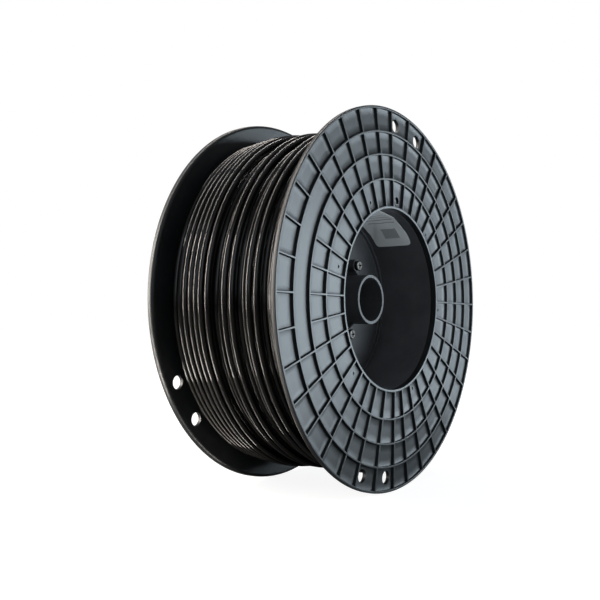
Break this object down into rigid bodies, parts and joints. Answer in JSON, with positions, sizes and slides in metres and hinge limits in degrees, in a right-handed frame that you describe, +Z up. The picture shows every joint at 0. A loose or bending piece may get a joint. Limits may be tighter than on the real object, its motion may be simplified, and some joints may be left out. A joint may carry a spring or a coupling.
{
  "type": "filament spool",
  "caption": "Ribbed plastic spool with dished flanges, an open drum round a central spindle tube, and filament wound on it in close turns.",
  "frame": {"origin": "on the spindle axis, half way between the faces of the two bore rings", "axes": "+Y along the spindle axis from the near flange to the far flange, +Z up with the spool standing on its rims"},
  "size_m": [0.2, 0.0804, 0.2],
  "materials": {
    "flange_plastic": "satin moulded plastic",
    "barrel_plastic": "smooth moulded plastic",
    "hub_plastic": "smooth moulded plastic",
    "screw_steel": "plain steel",
    "label_paper": "plain paper",
    "filament": "glossy extruded strand"
  },
  "bodies": {
    "root": {"near_flange": "flange_plastic", "far_flange": "flange_plastic", "barrel": "barrel_plastic", "near_hub": "hub_plastic", "far_hub": "hub_plastic", "hub_screws": "screw_steel", "barrel_label": "label_paper", "filament_core": "filament", "filament_outer_turns": "filament", "filament_inner_end": "filament"}
  },
  "joints": []
}
